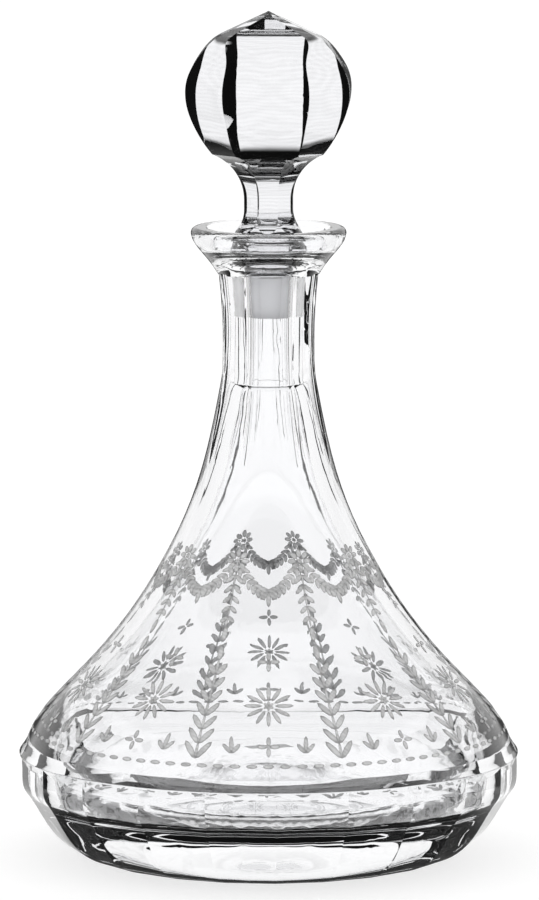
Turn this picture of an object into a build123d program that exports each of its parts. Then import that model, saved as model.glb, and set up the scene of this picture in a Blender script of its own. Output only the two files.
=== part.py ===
from build123d import *
import math
import os

os.makedirs("parts", exist_ok=True)

# Ships decanter in heavy clear crystal: a very broad panel-cut base, a cone that sweeps up into
# a narrow fluted neck, a saucer lip, and a solid panel-cut stopper.
# Millimetres. The table is at Z = 0 and the axis of the decanter is the Z axis.

# Base: a ring of flat upright panels under a raised round ridge
foot_radius = 52.0
ridge_radius = 85.4
ridge_height = 36.6
ridge_underside_depth = 2.2
ridge_underside_height = 6.4
ridge_bead_height = 1.6
ridge_bead_bevel = 1.2
ridge_bead_round = 0.6
panel_inset = 0.15
panel_count = 22
panel_turn = 1.9

# Shoulder, cone and neck
shoulder_inset = 2.6
shoulder_rise = 3.9
cone_height = 137.0
waist_radius = 15.6
neck_length = 23.6
neck_flare = 1.4

# Saucer lip
lip_height = 15.8
lip_radius = 26.6
lip_root_step = 0.4
rim_width = 6.8
rim_round = 2.0
saucer_side_length = 0.2
saucer_depth = 7.0

# Hollow inside the body: a floor that rises to a low dome, and a dish that turns up into the wall
floor_height = 21.8
floor_dome = 3.4
floor_radius = 41.6
dish_height = 6.9
dish_inset = 1.0
wall_thickness = 5.8

# Stopper: ground plug, shank, flange, stem and ball
plug_length = 16.4
plug_top_radius = 8.2
plug_bottom_radius = 7.6
plug_chamfer = 0.5
flange_radius = 12.9
flange_thickness = 2.5
flange_chamfer = 0.4
collar_height = 5.5
collar_step = 1.5
stem_flat_radius = 8.2
stem_flare_height = 4.5
stem_length = 3.5
cove_height = 15.9
ball_root_radius = 18.8
ball_radius = 27.8
ball_lower_height = 21.4
ball_upper_height = 18.7
cap_radius = 16.0
cap_height = 8.0
stopper_panel_count = 8
stopper_turn = -2.3
broad_panel_root_depth = 2.6
broad_panel_middle_depth = 3.2
broad_panel_top_depth = 5.7
broad_panel_tip_radius = 2.0

# Fits between the stopper and the neck
seat_clearance = 0.05
bore_step = 0.2
throat_relief = 0.3
throat_length = 2.2
throat_chamfer = 0.4
flange_gap = 0.5
flange_side_gap = 0.2

# Flutes cut into the neck
flute_count = 8
flute_turn = 25.0
flute_radius = 5.0
flute_depth = 0.95
flute_run_out = 3.0

# How far cutting and trimming shapes run past the glass
overrun = 5.0

# Bowl of the base between foot and ridge, as shares of panel_radius and ridge_height
bowl_shares = ((0.77, 0.09), (0.885, 0.315), (0.973, 0.64))
# The sweep from shoulder to waist, as shares of the drop in radius and of cone_height
cone_shares = (
    (0.132, 0.101),
    (0.310, 0.193),
    (0.600, 0.376),
    (0.769, 0.525),
    (0.908, 0.712),
    (0.987, 0.894),
)
# Where the neck flutes run out, as shares of the same sweep
flute_end_shares = (0.769, 0.525)
# Outside of the lip, as shares of the growth in radius and of lip_height
lip_shares = ((0.34, 0.29), (0.82, 0.63))
# Side of the ball below and above its widest place, as shares of the change in radius and height
ball_lower_share = (0.70, 0.48)
ball_upper_share = (0.68, 0.42)

# Where the dish turns up from the floor to the wall, as shares of its width and height
dish_share = (0.61, 0.35)

panel_radius = ridge_radius - panel_inset
shoulder_radius = ridge_radius - shoulder_inset
cavity_radius = shoulder_radius - wall_thickness
neck_top_radius = waist_radius + neck_flare
saucer_radius = lip_radius - rim_width
bore_radius = plug_bottom_radius - bore_step
throat_radius = plug_top_radius + throat_relief
throat_round = flange_radius + flange_side_gap - throat_radius
collar_radius = stem_flat_radius + collar_step
shank_radius = throat_radius - flange_gap

shoulder_height = ridge_height + shoulder_rise
waist_height = shoulder_height + cone_height
neck_top_height = waist_height + neck_length
rim_height = neck_top_height + lip_height
saucer_floor_height = rim_height - saucer_depth
throat_height = saucer_floor_height - throat_round
seat_top_height = throat_height - throat_length
seat_bottom_height = seat_top_height - plug_length
flange_height = saucer_floor_height + flange_gap
flange_top_height = flange_height + flange_thickness
collar_top_height = flange_top_height + collar_height
stem_height = collar_top_height + stem_flare_height
cove_base_height = stem_height + stem_length
ball_root_height = cove_base_height + cove_height
ball_middle_height = ball_root_height + ball_lower_height
cap_base_height = ball_middle_height + ball_upper_height
tip_height = cap_base_height + cap_height

quarter_turn = 90.0

# Directions in which the outlines start and end
up = (0, 1)
down = (0, -1)
outward = (1, 0)
foot_edge_direction = (1, 0.16)
shoulder_direction = (-0.35, 1)
lip_root_direction = (0.6, 1)
ball_root_direction = (-0.64, -0.77)
broad_panel_foot_direction = (-0.5, -0.87)


def between(start, end, shares):
    """The point that lies the given shares of the way from start to end in radius and height."""
    radius = start[0] + (end[0] - start[0]) * shares[0]
    height = start[1] + (end[1] - start[1]) * shares[1]
    return radius, height


def upright_face(outline):
    """The face inside an outline of radius and height, stood up in the XZ plane."""
    return Plane.XZ * make_face(outline)


def slab_ring(half_outline, count, turn, reach):
    """The solid that flat upright panels leave, each panel bent to the same half outline."""
    profile = upright_face(half_outline + mirror(half_outline, Plane.YZ))
    slab = extrude(profile, amount=reach, both=True)
    ring = None
    for index in range(count // 2):
        turned = Rot(0, 0, turn + index * 360 / count) * slab
        ring = turned if ring is None else ring & turned
    return ring


def cone_points(start_radius, end_radius):
    """The points of the sweep from shoulder to waist between two radii."""
    start = (start_radius, shoulder_height)
    end = (end_radius, waist_height)
    return [start] + [between(start, end, shares) for shares in cone_shares] + [end]


def cone_curve(points):
    """The sweep from shoulder to waist, upright where it meets the waist."""
    return Spline(*points, tangents=[shoulder_direction, up])


def make_panelled_base():
    """The bowl of the base, cut all round into flat upright panels."""
    flat_share = math.cos(math.pi / panel_count)
    top = ridge_height
    inner = [(panel_radius * radius * flat_share, ridge_height * height) for radius, height in bowl_shares]
    foot = (foot_radius * flat_share, 0)
    side = (panel_radius * flat_share, ridge_height - ridge_underside_height)
    bowl = Spline(foot, *inner, side, tangents=[foot_edge_direction, up])
    half = Line((0, 0), foot) + bowl + Polyline(side, (side[0], top), (0, top))
    return slab_ring(half, panel_count, panel_turn, panel_radius + overrun)


def make_round_body():
    """Everything above the panels: ridge, shoulder, cone, neck and the outside of the lip."""
    underside = (ridge_radius - ridge_underside_depth, ridge_height - ridge_underside_height)
    bead_low = (ridge_radius, ridge_height)
    bead_high = (ridge_radius - ridge_bead_bevel, ridge_height + ridge_bead_height)
    cone = cone_points(shoulder_radius, waist_radius)
    neck_top = (neck_top_radius, neck_top_height)
    lip_root = (neck_top_radius + lip_root_step, neck_top_height)
    lip_top = (lip_radius, rim_height)
    lip_points = [between(lip_root, lip_top, shares) for shares in lip_shares]
    corners = [(0, underside[1]), underside, bead_low, bead_high, cone[0]]
    lower = FilletPolyline(*corners, radius=ridge_bead_round)
    neck = TangentArc(cone[-1], neck_top, tangent=up)
    lip = Spline(lip_root, *lip_points, lip_top, tangents=[lip_root_direction, up])
    closing = Polyline(lip_top, (0, rim_height), (0, underside[1]))
    outline = lower + cone_curve(cone) + neck + Line(neck_top, lip_root) + lip + closing
    return revolve(upright_face(outline), Axis.Z)


def make_flute():
    """One flute cutter: a round wheel's path that follows the neck and runs out on the cone."""
    shoulder = (shoulder_radius, shoulder_height)
    waist = (waist_radius, waist_height)
    offset = flute_radius - flute_depth
    top = (neck_top_radius + offset, neck_top_height)
    middle = (waist_radius + offset, waist_height)
    end_radius, end_height = between(shoulder, waist, flute_end_shares)
    low = (end_radius + flute_radius + flute_run_out, end_height)
    path = Plane.XZ * ThreePointArc(top, middle, low)
    section = Plane(origin=path @ 0, z_dir=path % 0) * Circle(flute_radius)
    return sweep(section, path)


def make_hollow():
    """Cavity, bore, ground seat, throat and saucer: everything that is empty inside the body."""
    cone = cone_points(cavity_radius, bore_radius)
    dome_top = (0, floor_height + floor_dome)
    floor_edge = (floor_radius, floor_height)
    dish_top = (cavity_radius - dish_inset, floor_height + dish_height)
    dish_middle = between(floor_edge, dish_top, dish_share)
    seat_bottom = (plug_bottom_radius + seat_clearance, seat_bottom_height)
    seat_top = (plug_top_radius + seat_clearance, seat_top_height)
    throat_low = (throat_radius, seat_top_height + throat_chamfer)
    throat_high = (throat_radius, throat_height)
    saucer_floor = (throat_radius + throat_round, saucer_floor_height)
    saucer_side = (saucer_radius, rim_height - rim_round - saucer_side_length)
    above = rim_height + overrun
    floor = Spline(dome_top, floor_edge, tangents=[outward, outward])
    dish = Spline(floor_edge, dish_middle, dish_top, tangents=[outward, up])
    wall = Spline(dish_top, *cone[1:], tangents=[up, up])
    seat = Polyline(cone[-1], (bore_radius, seat_bottom_height), seat_bottom, seat_top, throat_low, throat_high)
    throat = RadiusArc(throat_high, saucer_floor, throat_round)
    saucer = Spline(saucer_floor, saucer_side, tangents=[outward, up])
    closing = Polyline(saucer_side, (saucer_radius, above), (0, above), dome_top)
    outline = floor + dish + wall + seat + throat + saucer + closing
    return revolve(upright_face(outline), Axis.Z)


def make_decanter_body():
    """The decanter itself: one piece of glass."""
    body = make_panelled_base() + make_round_body()
    flute = make_flute()
    for index in range(flute_count):
        body = body - Rot(0, 0, flute_turn + index * 360 / flute_count) * flute
    body = body - make_hollow()
    rim_edges = body.edges().group_by(Axis.Z)[-1]
    return fillet(rim_edges, rim_round)


def make_stopper_blank():
    """The turned form of the stopper: plug, shank, flange and collar, and clear room above them."""
    plug_bottom = (plug_bottom_radius, seat_bottom_height + plug_chamfer)
    shank_low = (shank_radius, seat_top_height + throat_chamfer)
    shank_high = (shank_radius, throat_height)
    flange_rim = flange_radius - flange_chamfer
    room = ball_radius + overrun
    above = tip_height + overrun
    plug = Polyline(
        (0, seat_bottom_height),
        (plug_bottom_radius - plug_chamfer, seat_bottom_height),
        plug_bottom,
        (plug_top_radius, seat_top_height),
        shank_low,
        shank_high,
    )
    shank = TangentArc(shank_high, (flange_rim, flange_height), tangent=up)
    rest = Polyline(
        (flange_rim, flange_height),
        (flange_radius, flange_height + flange_chamfer),
        (flange_radius, flange_top_height - flange_chamfer),
        (flange_rim, flange_top_height),
        (collar_radius, collar_top_height),
        (collar_radius, stem_height),
        (room, stem_height),
        (room, above),
        (0, above),
        (0, seat_bottom_height),
    )
    return revolve(upright_face(plug + shank + rest), Axis.Z)


def make_stopper_panels():
    """The eight-sided cut form of the stopper, from its point down past the flange."""
    tip = (0, tip_height)
    cap_edge = (cap_radius, cap_base_height)
    middle = (ball_radius, ball_middle_height)
    root = (ball_root_radius, ball_root_height)
    upper = between(cap_edge, middle, ball_upper_share)
    lower = between(root, middle, ball_lower_share)
    cove_low = (stem_flat_radius, cove_base_height)
    stem_low = (stem_flat_radius, stem_height)
    flare_end = (flange_radius + flange_thickness, flange_top_height)
    below = seat_bottom_height - overrun
    cap_slope = (cap_radius, -cap_height)
    ball = Spline(cap_edge, upper, middle, tangents=[cap_slope, down])
    ball_foot = Spline(middle, lower, root, tangents=[down, ball_root_direction])
    cove = TangentArc(cove_low, root, tangent=up)
    flare = TangentArc(stem_low, flare_end, tangent=down)
    closing = Polyline(flare_end, (flare_end[0], below), (0, below))
    half = Line(tip, cap_edge) + ball + ball_foot + cove + Line(cove_low, stem_low) + flare + closing
    return slab_ring(half, stopper_panel_count, stopper_turn, ball_radius + overrun)


def make_broad_panel():
    """What is cut away in front of the ball: this panel lies deeper and is broader than the others."""
    reach = ball_radius + overrun
    root = (ball_root_radius - broad_panel_root_depth, ball_root_height)
    middle = (ball_radius - broad_panel_middle_depth, ball_middle_height)
    top = (cap_radius - broad_panel_top_depth, cap_base_height)
    tip = (broad_panel_tip_radius, tip_height)
    slope = (top[0] - tip[0], top[1] - tip[1])
    rise = Spline(tip, top, middle, tangents=[slope, down])
    fall = Spline(middle, root, tangents=[down, broad_panel_foot_direction])
    foot = PolarLine(root, overrun, direction=broad_panel_foot_direction)
    foot_end = foot @ 1
    closing = Polyline((foot_end.X, foot_end.Y), (reach, foot_end.Y), (reach, tip_height), tip)
    cutter = extrude(upright_face(rise + fall + foot + closing), amount=reach, both=True)
    return Rot(0, 0, stopper_turn - quarter_turn) * cutter


def make_stopper():
    """The solid glass stopper."""
    return (make_stopper_panels() - make_broad_panel()) & make_stopper_blank()


decanter_body = make_decanter_body()
stopper = make_stopper()

export_step(decanter_body, "parts/decanter_body.step")
export_step(stopper, "parts/stopper.step")
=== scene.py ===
# %% [markdown]
# # A ships decanter in cut crystal
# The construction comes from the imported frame: a decanter body and its stopper, at their real size
# in metres. This lesson gives them the look of heavy, hand-cut crystal. Clear glass has no colour of
# its own, so almost everything that the eye reads as "glass" is the studio seen through it. The
# lesson therefore starts with the camera and the studio, and only then comes to the materials.

# %% Load the frame
import bpy
import bmesh
import math
from mathutils import Matrix, Vector
from mathutils.bvhtree import BVHTree


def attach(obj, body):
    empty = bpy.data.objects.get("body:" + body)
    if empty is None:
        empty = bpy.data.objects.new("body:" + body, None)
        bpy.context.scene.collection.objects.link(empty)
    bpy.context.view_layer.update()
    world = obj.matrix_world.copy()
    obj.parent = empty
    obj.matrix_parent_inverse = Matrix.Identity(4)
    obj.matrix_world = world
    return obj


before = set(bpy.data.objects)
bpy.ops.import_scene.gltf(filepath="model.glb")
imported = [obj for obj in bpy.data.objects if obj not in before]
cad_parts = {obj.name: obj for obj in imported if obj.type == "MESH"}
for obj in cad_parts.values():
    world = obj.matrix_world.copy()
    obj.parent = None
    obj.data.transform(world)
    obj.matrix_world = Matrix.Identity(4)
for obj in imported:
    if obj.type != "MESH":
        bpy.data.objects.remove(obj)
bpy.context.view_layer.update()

# %% [markdown]
# ## The camera
# The photograph was taken from far away with a long lens: the rim of the lip is a thin ellipse and
# upright lines hardly converge. The width of that ellipse against its length gives the camera's
# height, eight degrees above level. A short lens close by would bulge the base and shrink the neck.

# %% Camera
camera_elevation = math.radians(8.0)
camera_distance = 3.0
view_height = 0.3067
aim = Vector((0.0003, 0.0, 0.1403))

camera_data = bpy.data.cameras.new("camera")
camera_data.sensor_width = 36.0
camera_data.lens = camera_data.sensor_width * camera_distance / view_height
camera = bpy.data.objects.new("camera", camera_data)
offset = Vector((0, -math.cos(camera_elevation), math.sin(camera_elevation)))
camera.location = aim + offset * camera_distance
camera.rotation_euler = (math.pi / 2 - camera_elevation, 0, 0)
bpy.context.scene.collection.objects.link(camera)
bpy.context.scene.camera = camera
print("lens, mm:", round(camera_data.lens))

# %% [markdown]
# ## Shader maths
# Node trees are hard to read as lists of links. A small class wraps one socket, so that patterns can
# be written as ordinary sums, and one method makes every other kind of node. Small functions then
# give what several materials need: an empty tree, a distance from the axis, and a test for glass.

# %% A socket that can be used in sums
class Flow:
    """A node socket that takes part in arithmetic and makes other nodes in its tree."""

    def __init__(self, tree, socket=None):
        self.tree = tree
        self.socket = socket

    def make(self, kind, settings=None, sockets=None, out=0):
        """Add a node: first its settings, then the values or links of its sockets."""
        node = self.tree.nodes.new(kind)
        for name, value in (settings or {}).items():
            if name == "stops":
                for stop, (place, shade) in zip(node.color_ramp.elements, value):
                    stop.position = place
                    stop.color = (shade, shade, shade, 1)
                for place, shade in value[2:]:
                    stop = node.color_ramp.elements.new(place)
                    stop.color = (shade, shade, shade, 1)
            else:
                setattr(node, name, value)
        for name, value in (sockets or {}).items():
            if isinstance(value, Flow):
                self.tree.links.new(value.socket, node.inputs[name])
            else:
                node.inputs[name].default_value = value
        return Flow(self.tree, node.outputs[out] if len(node.outputs) else None)

    def output(self, name):
        """Another output of the same node."""
        return Flow(self.tree, self.socket.node.outputs[name])

    def math(self, operation, first, second=0.0):
        """One Math node; numbers and sockets may be mixed."""
        return self.make("ShaderNodeMath", {"operation": operation}, {0: first, 1: second})

    def __add__(self, other):
        return self.math("ADD", self, other)

    __radd__ = __add__

    def __sub__(self, other):
        return self.math("SUBTRACT", self, other)

    def __rsub__(self, other):
        return self.math("SUBTRACT", other, self)

    def __mul__(self, other):
        return self.math("MULTIPLY", self, other)

    __rmul__ = __mul__

    def step(self, low, high, kind="SMOOTHSTEP"):
        """Rises from 0 to 1 while the value goes from low to high."""
        settings = {"interpolation_type": kind}
        return self.make("ShaderNodeMapRange", settings, {"Value": self, "From Min": low, "From Max": high})

    def between(self, low, high, soft):
        """1 from the soft end of low to high, and 0 below low and above the soft end of high."""
        return self.step(low, low + soft) * (1 - self.step(high, high + soft))


def blank_material(name):
    """A new material without nodes, and a flow that makes nodes in it."""
    material = bpy.data.materials.new(name)
    material.use_nodes = True
    material.node_tree.nodes.clear()
    return material, Flow(material.node_tree)


def radius_of(flow, place):
    """The distance from the Z axis and the three coordinates of a place."""
    parts = flow.make("ShaderNodeSeparateXYZ", sockets={"Vector": place})
    x, y, z = (parts.output(i) for i in range(3))
    return flow.math("SQRT", x * x + y * y), x, y, z


def glass_sees(flow, path):
    """1 for rays that come from glass, reflected by it or sent through it."""
    return flow.math("MAXIMUM", path.output("Is Glossy Ray"), path.output("Is Transmission Ray"))


def drawn_piece(name, form):
    """An object in the scene, made from a drawn form."""
    mesh = bpy.data.meshes.new(name)
    form.to_mesh(mesh)
    form.free()
    piece = bpy.data.objects.new(name, mesh)
    bpy.context.scene.collection.objects.link(piece)
    return piece


# %% [markdown]
# ## The studio
# Glass is photographed against a bright background with dark cards just outside the picture. Rays
# that pass nearly straight through see the white, and rays that a curved edge bends a long way see
# the dark cards, which draws every edge as a crisp dark line. Here the cards are part of the world,
# seen only by glass. Below the horizon upright dark bars stand between eight white windows, so that
# every side of the decanter has a white window behind it. Steep rays see dark cards as well.
#
# Light that is reflected again and again inside the glass draws the dark lines with small white
# glints in them. After two reflections it finds only two bright rings, one above and one below, and
# after three it finds nothing.
#
# The outside of the glass mirrors a room of its own. It is dark towards the viewer, so that black
# stays black, and has a bright backdrop on the far side, which keeps the lip and the edges light.
# The middle of the backdrop is dark again up to the horizon: it is mirrored only where the glass
# turns quite away, and draws a thin dark outline. Everything but glass is lit by an even white world.

# %% World
world = bpy.data.worlds.new("studio")
bpy.context.scene.world = world
world.use_nodes = True
world.node_tree.nodes.clear()
sky = Flow(world.node_tree)

direction = sky.make("ShaderNodeTexCoord", out=0)
split = sky.make("ShaderNodeSeparateXYZ", sockets={"Vector": direction})
across, along, upward = (split.output(i) for i in range(3))

window_count = 8
window_half = 19.5
window_soft = 1.5
bars_top = 2
bars_soft = 3
canopy_low = 30
canopy_high = 75
below_top = -50
rings_low = 18
rings_high = 62
card_soft = 6
turn = sky.math("ARCTAN2", along, across) * (window_count / (2 * math.pi))
from_window = sky.math("ABSOLUTE", turn - sky.math("ROUND", turn)) * (360 / window_count)
bars = from_window.step(window_half, window_half + window_soft)

elevation = sky.math("ARCSINE", upward) * (180 / math.pi)
bars = bars * (1 - elevation.step(bars_top, bars_top + bars_soft))
canopy = elevation.between(canopy_low, canopy_high, card_soft)
below = 1 - elevation.step(below_top, below_top + card_soft)
straight = 1 - sky.math("MAXIMUM", bars, sky.math("MAXIMUM", canopy, below))
rings = sky.math("ABSOLUTE", elevation).between(rings_low, rings_high, card_soft)

room_dark = 0.08
backdrop_edge = 0.35
backdrop_full = 0.75
middle_edge = 0.88
middle_full = 0.97
dark_middle = along.step(middle_edge, middle_full) * (1 - elevation.step(0, card_soft))
backdrop = along.step(backdrop_edge, backdrop_full) * (1 - dark_middle)
mirrored = room_dark + backdrop * (1 - room_dark)

# Depths are whole numbers, so each limit lies half way between two of them
one_entry = 0.5
two_reflections = 1.5
three_reflections = 2.5
glass_light = 1.09
path = sky.make("ShaderNodeLightPath")
bounces = path.output("Glossy Depth")
often = sky.math("GREATER_THAN", bounces, two_reflections)
never_inside = sky.math("LESS_THAN", path.output("Transmission Depth"), one_entry)
soon_out = sky.math("LESS_THAN", bounces, three_reflections)
seen_in_glass = (straight * (1 - often) + rings * often) * soon_out
seen_in_glass = seen_in_glass * (1 - never_inside) + never_inside * mirrored

plain = sky.make("ShaderNodeBackground", sockets={"Color": (1, 1, 1, 1), "Strength": 1.0})
cards = sky.make("ShaderNodeBackground", sockets={"Color": seen_in_glass, "Strength": glass_light})
mixed = sky.make("ShaderNodeMixShader", sockets={"Fac": glass_sees(sky, path), 1: plain, 2: cards})
sky.make("ShaderNodeOutputWorld", sockets={"Surface": mixed})
print("white windows:", window_count, "each", 2 * window_half, "degrees wide")

# %% [markdown]
# ## The table
# The background of the picture is pure white and the decanter throws only a faint shadow on it. The
# floor is therefore part paper and part glow: together they come out white, and only the paper's
# share can fall into shadow. Through the glass the floor plays another part. Round the foot it is
# white paper, which fills the lower bowl with light. Right under the foot and far out it is open, so
# that the thick floor of the decanter shows the dark card that lies below it, a painted shadow under
# the foot.

# %% Floor
floor_size = 12.0
floor_gap = 0.0002
foot_edge = 0.0535
foot_soft = 0.001
near_floor = 0.19
near_soft = 0.02
far_side_half = 0.02
paper_shade = (0.35, 0.35, 0.35, 1)
paper_glow = 0.72
floor_form = bmesh.new()
bmesh.ops.create_grid(floor_form, x_segments=1, y_segments=1, size=floor_size / 2)
bmesh.ops.translate(floor_form, vec=(0, 0, -floor_gap), verts=floor_form.verts)
floor = drawn_piece("floor", floor_form)

floor_material, ground = blank_material("pale_floor")
matt = ground.make("ShaderNodeBsdfDiffuse", sockets={"Color": paper_shade})
glow = ground.make("ShaderNodeEmission", sockets={"Color": (1, 1, 1, 1), "Strength": paper_glow})
seen = ground.make("ShaderNodeAddShader", sockets={0: matt, 1: glow})
open_floor = ground.make("ShaderNodeBsdfTransparent", sockets={"Color": (1, 1, 1, 1)})
ground_path = ground.make("ShaderNodeLightPath")
spot = ground.make("ShaderNodeTexCoord", out=3)
spot_radius, _, spot_y, _ = radius_of(ground, spot)
near = spot_radius.step(foot_edge, foot_edge + foot_soft)
near = near * (1 - spot_radius.step(near_floor, near_floor + near_soft))
soon_seen = ground.math("LESS_THAN", ground_path.output("Glossy Depth"), three_reflections)
unlit = ground.make("ShaderNodeEmission", sockets={"Color": (0, 0, 0, 1), "Strength": 1.0})
white_paper = ground.make("ShaderNodeEmission", sockets={"Color": (1, 1, 1, 1), "Strength": glass_light})
outside = ground.math("LESS_THAN", ground_path.output("Transmission Depth"), one_entry)
far_side = spot_y.step(-far_side_half, far_side_half)
paper_share = soon_seen * (1 - outside) + outside * (room_dark + far_side * (1 - room_dark))
paper = ground.make("ShaderNodeMixShader", sockets={"Fac": paper_share, 1: unlit, 2: white_paper})
clear = ground.make("ShaderNodeMixShader", sockets={"Fac": near, 1: open_floor, 2: paper})
in_glass = glass_sees(ground, ground_path)
floor_look = ground.make("ShaderNodeMixShader", sockets={"Fac": in_glass, 1: seen, 2: clear})
ground.make("ShaderNodeOutputMaterial", sockets={"Surface": floor_look})
floor.data.materials.append(floor_material)
print("white paper for the glass, mm from the axis:", foot_edge * 1000, "to", near_floor * 1000)

# %% Dark card below the foot, a painted shadow
shadow_card_depth = 0.06
shadow_card_radius = 0.13
shadow_card_sides = 64
# The card is a painted shadow: a dark sheet, seen only through the glass, that stands in for the shade
# under the foot.
painted_shadow_shade = (0.02, 0.02, 0.02, 1)
shadow_card_form = bmesh.new()
bmesh.ops.create_circle(shadow_card_form, cap_ends=True, segments=shadow_card_sides, radius=shadow_card_radius)
bmesh.ops.translate(shadow_card_form, vec=(0, 0, -shadow_card_depth), verts=shadow_card_form.verts)
shadow_card_piece = drawn_piece("painted_shadow_card", shadow_card_form)

painted_shadow_material, card = blank_material("painted_shadow_card")
painted_shadow_surface = card.make("ShaderNodeEmission", sockets={"Color": painted_shadow_shade, "Strength": 1.0})
card.make("ShaderNodeOutputMaterial", sockets={"Surface": painted_shadow_surface})
shadow_card_piece.data.materials.append(painted_shadow_material)
print("dark card, mm below the table:", shadow_card_depth * 1000)

# %% [markdown]
# ## Crystal
# Cut crystal is clear and has a faint grey where it is thick. The solids are closed, and the hollow
# is part of their surface, so light bends on its way in and out just as it does in the real piece.
# The stopper is ground into the neck: between two heights, and only near the axis, both surfaces are
# matt instead of polished. Polishing by hand leaves the glass very slightly uneven, which a weak
# bump gives. On the stopper's panels the wheel has also left fine wavy ripples. The ripples are real,
# but their dark lines are painted shade: the glass's colour is made darker along them.

# %% Crystal
glass_index = 1.54
ground_roughness = 0.5
seat_high = 0.2031
seat_radius = 0.0086
band_soft = 0.0002
radius_soft = 0.0001


def crystal(name, seat_low, tint, ripple_painted_shade=0.0):
    """Clear glass with a matt band, and, when they have a depth, ripples painted as darker lines: a painted
    shade.
    """
    material, glass = blank_material(name)
    place = glass.make("ShaderNodeTexCoord", out=3)
    radius, _, _, z = radius_of(glass, place)
    ground_band = z.step(seat_low, seat_low + band_soft) * (1 - z.step(seat_high - band_soft, seat_high))
    ground_band = ground_band * (1 - radius.step(seat_radius, seat_radius + radius_soft))
    waves = glass.make("ShaderNodeTexNoise", sockets={"Vector": place, "Scale": 30.0, "Detail": 1.0})
    wavy = glass.make("ShaderNodeBump", sockets={"Strength": 0.012, "Distance": 0.001, "Height": waves})
    shaded = tint
    if ripple_painted_shade:
        ripples = glass.make("ShaderNodeTexWave", {"wave_type": "BANDS", "bands_direction": "Z"}, {
            "Vector": place,
            "Scale": 230.0,
            "Distortion": 9.0,
            "Detail": 1.0,
            "Detail Scale": 0.35,
        }, out=1)
        # Painted shade: the ripples darken the glass's colour towards black.
        shaded = glass.make("ShaderNodeMix", {"data_type": "RGBA"}, {
            0: ripples * ripple_painted_shade,
            6: tint,
            7: (0, 0, 0, 1),
        }, out=2)
    surface = glass.make("ShaderNodeBsdfPrincipled", sockets={
        "Base Color": shaded,
        "Roughness": ground_band * ground_roughness,
        "IOR": glass_index,
        "Transmission Weight": 1.0,
        "Normal": wavy,
    })
    glass.make("ShaderNodeOutputMaterial", sockets={"Surface": surface})
    return material


seat_bottom = 0.1867
plug_chamfer = 0.0006
body_tint = (0.975, 0.977, 0.985, 1)
stopper_tint = (0.91, 0.913, 0.93, 1)
# How dark the painted shade of the stopper's ripples is.
stopper_ripple_painted_shade = 0.1
body_crystal = crystal("cut_crystal", seat_bottom, body_tint)
stopper_crystal = crystal("stopper_crystal", seat_bottom + plug_chamfer, stopper_tint, stopper_ripple_painted_shade)
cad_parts["decanter_body"].material_slots[0].material = body_crystal
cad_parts["stopper"].material_slots[0].material = stopper_crystal
print("matt seat, mm above the table:", seat_bottom * 1000, "to", seat_high * 1000)

# %% [markdown]
# ## Flattening the cone
# The cone carries an engraving, ground into its outside with small stone wheels. An engraver marks
# such a pattern out on paper first. The lesson does the same: it draws each motif flat and then lays
# it on the glass, where a distance across becomes an angle round the axis and a distance up becomes
# a way up the slope. Rays shot at the cone from outside measure that slope.

# %% Measure the slope of the cone
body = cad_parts["decanter_body"].data
corners = [corner.co for corner in body.vertices]
skin = BVHTree.FromPolygons(corners, [face.vertices for face in body.polygons])
clear_of_body = 0.2
slope_low = 0.043
slope_step = 0.001
slope_count = 73
between_flutes = math.radians(47.5)
outwards = Vector((math.cos(between_flutes), math.sin(between_flutes), 0))
slope = []
for index in range(slope_count):
    height = slope_low + index * slope_step
    hit = skin.ray_cast(outwards * clear_of_body + Vector((0, 0, height)), -outwards)[0]
    reach = hit.xy.length
    travelled = slope[-1][0] + math.hypot(slope[-1][1] - reach, slope_step) if slope else 0.0
    slope.append((travelled, reach, height))
print("way up the slope, mm:", round(slope[-1][0] * 1000, 1))


def on_slope(along):
    """Radius, height and outward direction at a distance up the slope."""
    after = next((index for index, spot in enumerate(slope) if spot[0] > along), len(slope) - 1)
    first, second = slope[max(after, 1) - 1], slope[max(after, 1)]
    length = second[0] - first[0]
    share = (along - first[0]) / length
    reach = first[1] + (second[1] - first[1]) * share
    return reach, first[2] + slope_step * share, slope_step / length, (first[1] - second[1]) / length


def along_at(height):
    """The distance up the slope at which the cone has this height."""
    return next(spot[0] for spot in slope if spot[2] >= height - slope_step / 2)


# %% [markdown]
# ## Drawing the engraving
# Everything in the pattern is a leaf, because a wheel cuts a groove that is widest in the middle and
# pointed at both ends. Leaves make garlands, rosettes, fans and drops in the upper band, and sprays,
# suns and small flowers in the lower one. Ten repeats go round the cone. Each drawing is given a
# little thickness, more than half of it sunk into the glass, so that it never flickers against it.

# %% Draw flat and lay on the cone
repeats = 10
cut_depth = 0.00015
rim_height = 0.00010
crown_height = 0.00016
leaf_sides = 8
fan_fall = 0.3
upwards = math.pi / 2
downwards = -math.pi / 2


def leaf(form, place, heading, length, width):
    """A pointed leaf that starts at a place and grows in a direction."""
    lie = Matrix.Translation((place[0], place[1], 0)) @ Matrix.Rotation(heading, 4, "Z")
    size = Matrix.Diagonal((length, width, 1, 1)) @ Matrix.Translation((0.5, 0, 0))
    bmesh.ops.create_circle(form, cap_ends=True, segments=leaf_sides, radius=0.5, matrix=lie @ size)


def leaf_pair(form, place, heading, spread, length, width):
    """Two leaves that open to both sides of a direction."""
    leaf(form, place, heading - spread, length, width)
    leaf(form, place, heading + spread, length, width)


def star(form, place, rays, inner, length, width):
    """Leaves all round a point, each starting at an inner radius."""
    for index in range(rays):
        heading = 2 * math.pi * index / rays + upwards
        start = (place[0] + inner * math.cos(heading), place[1] + inner * math.sin(heading))
        leaf(form, start, heading, length, width)


def fan(form, place, heading, leaves, spread, length, width):
    """Leaves that open like a fan, the middle one longest."""
    for index in range(leaves):
        lean = 2 * index / (leaves - 1) - 1
        leaf(form, place, heading + lean * spread, length * (1 - fan_fall * abs(lean)), width)


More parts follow.
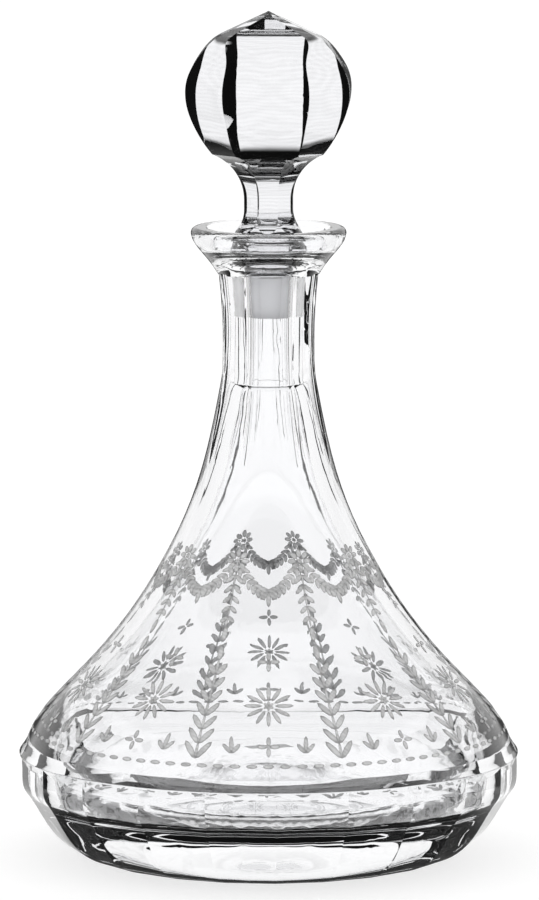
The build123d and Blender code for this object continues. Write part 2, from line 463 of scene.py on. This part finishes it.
def engrave(name, draw, turn):
    """Repeat one flat drawing round the cone and give it its thickness."""
    form = bmesh.new()
    form.verts.layers.float.new("rim")
    for index in range(repeats):
        sheet = bmesh.new()
        rim = sheet.verts.layers.float.new("rim")
        draw(sheet)
        for corner in sheet.verts:
            corner[rim] = 1.0
        for corner in bmesh.ops.poke(sheet, faces=sheet.faces[:])["verts"]:
            corner[rim] = 0.0
        solid = bmesh.ops.extrude_face_region(sheet, geom=sheet.faces[:], use_keep_orig=True)["geom"]
        top = {part for part in solid if isinstance(part, bmesh.types.BMVert)}
        middle = turn + 2 * math.pi * index / repeats
        for corner in sheet.verts:
            across, along, _ = corner.co
            reach, height, out_share, up_share = on_slope(along)
            crown = rim_height if corner[rim] > 0.5 else crown_height
            lift = crown if corner in top else -cut_depth
            angle = middle + across / reach
            radius = reach + lift * out_share
            corner.co = (radius * math.cos(angle), radius * math.sin(angle), height + lift * up_share)
        bmesh.ops.recalc_face_normals(sheet, faces=sheet.faces)
        copy = bpy.data.meshes.new("sheet")
        sheet.to_mesh(copy)
        form.from_mesh(copy)
        sheet.free()
        bpy.data.meshes.remove(copy)
    open_edges = sum(1 for edge in form.edges if len(edge.link_faces) != 2)
    piece = drawn_piece(name, form)
    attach(piece, "decanter")
    print(name, "faces:", len(piece.data.polygons), "open edges:", open_edges)
    return piece


# %% Garlands and fans of the upper band
front = math.radians(-90)
half_repeat = math.pi / repeats
swag_top = along_at(0.107)
swag_half = on_slope(swag_top)[0] * half_repeat
swag_sag = 0.0115
swag_stations = 6
swag_start = 0.9
swag_end = 2.0
swag_lift = 0.0006
swag_low = (0, swag_top - swag_sag + swag_lift)


def draw_garland(form):
    """Pairs of leaves that hang in a curve, with a fan at its lowest point."""
    for index in range(swag_stations):
        share = (index + swag_start) / (swag_stations + swag_end)
        for side in (-1, 1):
            place = (side * swag_half * (1 - share), swag_top - swag_sag * (1 - (1 - share) ** 2))
            run = math.atan2(-2 * swag_sag / swag_half * (1 - share), -side)
            leaf_pair(form, place, run, spread=0.62, length=0.0036, width=0.0015)
            leaf(form, place, run, length=0.0022, width=0.0006)
    fan(form, swag_low, downwards, leaves=3, spread=0.8, length=0.0056, width=0.0017)
    leaf_pair(form, swag_low, upwards, spread=0.9, length=0.0028, width=0.0012)


garlands = engrave("engraved_garlands", draw_garland, front)

# %% Rosettes and leaf drops between the garlands
drop_pairs = 5
drop_step = 0.0038
drop_top = swag_top - 0.0050
drop_leaf = 0.0046
drop_shrink = 0.0003


def draw_rosette_drop(form):
    """A rosette with a string of leaf pairs hanging from it."""
    star(form, (0, swag_top), rays=8, inner=0.0012, length=0.0030, width=0.0018)
    star(form, (0, swag_top), rays=6, inner=0.0, length=0.0010, width=0.0006)
    for index in range(drop_pairs):
        place = (0, drop_top - index * drop_step)
        leaf_pair(form, place, downwards, spread=0.8, length=drop_leaf - index * drop_shrink, width=0.0016)
        leaf(form, place, downwards, length=drop_step, width=0.0006)
    leaf(form, (0, drop_top - drop_pairs * drop_step), downwards, length=0.0058, width=0.0019)


drops = engrave("engraved_drops", draw_rosette_drop, front + half_repeat)

# %% Tall sprays of the lower band
spray_low = along_at(0.0475)
spray_high = along_at(0.076)
spray_pairs = 7
spray_leaf = 0.0080
spray_shrink = 0.0004
stalk_overlap = 1.1


def draw_spray(form):
    """An upright stalk with leaf pairs that get shorter towards its tip."""
    step = (spray_high - spray_low) / spray_pairs
    for index in range(spray_pairs):
        place = (0, spray_low + index * step)
        leaf_pair(form, place, upwards, spread=0.62, length=spray_leaf - index * spray_shrink, width=0.0022)
        leaf(form, place, upwards, length=step * stalk_overlap, width=0.0010)
    leaf(form, (0, spray_high), upwards, length=0.0064, width=0.0021)


sprays = engrave("engraved_sprays", draw_spray, front + half_repeat)

# %% Suns, flowers and the border of the lower band
sun_height = along_at(0.063)
flower_heights = (along_at(0.0765), along_at(0.0515))
fan_height = along_at(0.0485)
fan_aside = 0.0125
border_height = along_at(0.0452)
border_marks = 9
border_leaf = 0.0038


def draw_sun(form):
    """A sun, a small flower above and below it, and a fan on either side."""
    star(form, (0, sun_height), rays=12, inner=0.0022, length=0.0062, width=0.0015)
    star(form, (0, sun_height), rays=6, inner=0.0, length=0.0019, width=0.0010)
    for height in flower_heights:
        star(form, (0, height), rays=4, inner=0.0004, length=0.0034, width=0.0016)
    for side in (-1, 1):
        place = (side * fan_aside, fan_height)
        fan(form, place, upwards, leaves=3, spread=0.7, length=0.0066, width=0.0016)


def draw_border(form):
    """A row of level leaves that meets its neighbours all round the cone."""
    width = 2 * half_repeat * on_slope(border_height)[0]
    for index in range(border_marks):
        middle = (index + 0.5) / border_marks * width - width / 2
        leaf(form, (middle - border_leaf / 2, border_height), 0, length=border_leaf, width=0.0015)


suns = engrave("engraved_suns", draw_sun, front)
border = engrave("engraved_border", draw_border, front)

# %% [markdown]
# ## Ground glass
# A groove left by a stone wheel isn't polished. It scatters light, both what falls on it and what
# comes through the glass from behind, so it looks pale grey on either side of the decanter. It is a
# little lighter and darker from place to place, where the wheel bit more or less: broad patches from
# one noise, and the bite of single grains from a much finer one. The hatching is the wheel's own
# mark, and the edge of each leaf is darker, because the groove's steep side turns away from the light.

# %% Ground material
patch_share = 0.6
bite_low = 0.3
bite_high = 0.7
bite_shade = 0.3
hatch_shade = 0.14
darkest_shade = 0.54
rim_low = 0.66
rim_high = 0.9
rim_darkening = 0.42
ground_glass, cut = blank_material("ground_glass")
cut_place = cut.make("ShaderNodeTexCoord", out=3)
patches = cut.make("ShaderNodeTexNoise", sockets={"Vector": cut_place, "Scale": 160.0, "Detail": 1.0})
grain = cut.make("ShaderNodeTexNoise", sockets={"Vector": cut_place, "Scale": 900.0, "Detail": 2.0})
bite = patches * patch_share + grain * (1 - patch_share)
diagonal = {"wave_type": "BANDS", "bands_direction": "DIAGONAL"}
hatch = cut.make("ShaderNodeTexWave", diagonal, {"Vector": cut_place, "Scale": 300.0}, out=1)
rim = cut.make("ShaderNodeAttribute", {"attribute_name": "rim"}, out=2)
shade = bite.step(bite_low, bite_high) * bite_shade + hatch * hatch_shade + darkest_shade
shade = shade * (1 - rim.step(rim_low, rim_high) * rim_darkening)
rough_cut = cut.make("ShaderNodeBump", sockets={"Strength": 0.3, "Distance": 0.0002, "Height": grain})
matt_cut = cut.make("ShaderNodeBsdfPrincipled", sockets={
    "Base Color": shade,
    "Roughness": 0.75,
    "IOR": 1.3,
    "Transmission Weight": 0.4,
    "Alpha": 0.78,
    "Normal": rough_cut,
})
cut.make("ShaderNodeOutputMaterial", sockets={"Surface": matt_cut})
for piece in (garlands, drops, sprays, suns, border):
    piece.data.materials.append(ground_glass)

# %% [markdown]
# ## Light paths
# A ray through the decanter crosses eight surfaces and more, and in the corners of the stopper it
# may be reflected many times before it finds a way out. With too few bounces it would end in black.

# %% Light paths
cycles = bpy.context.scene.cycles
cycles.max_bounces = 24
cycles.transmission_bounces = 24
cycles.glossy_bounces = 24
cycles.transparent_max_bounces = 16

# %% Finish
bpy.context.scene.view_settings.view_transform = "Standard"
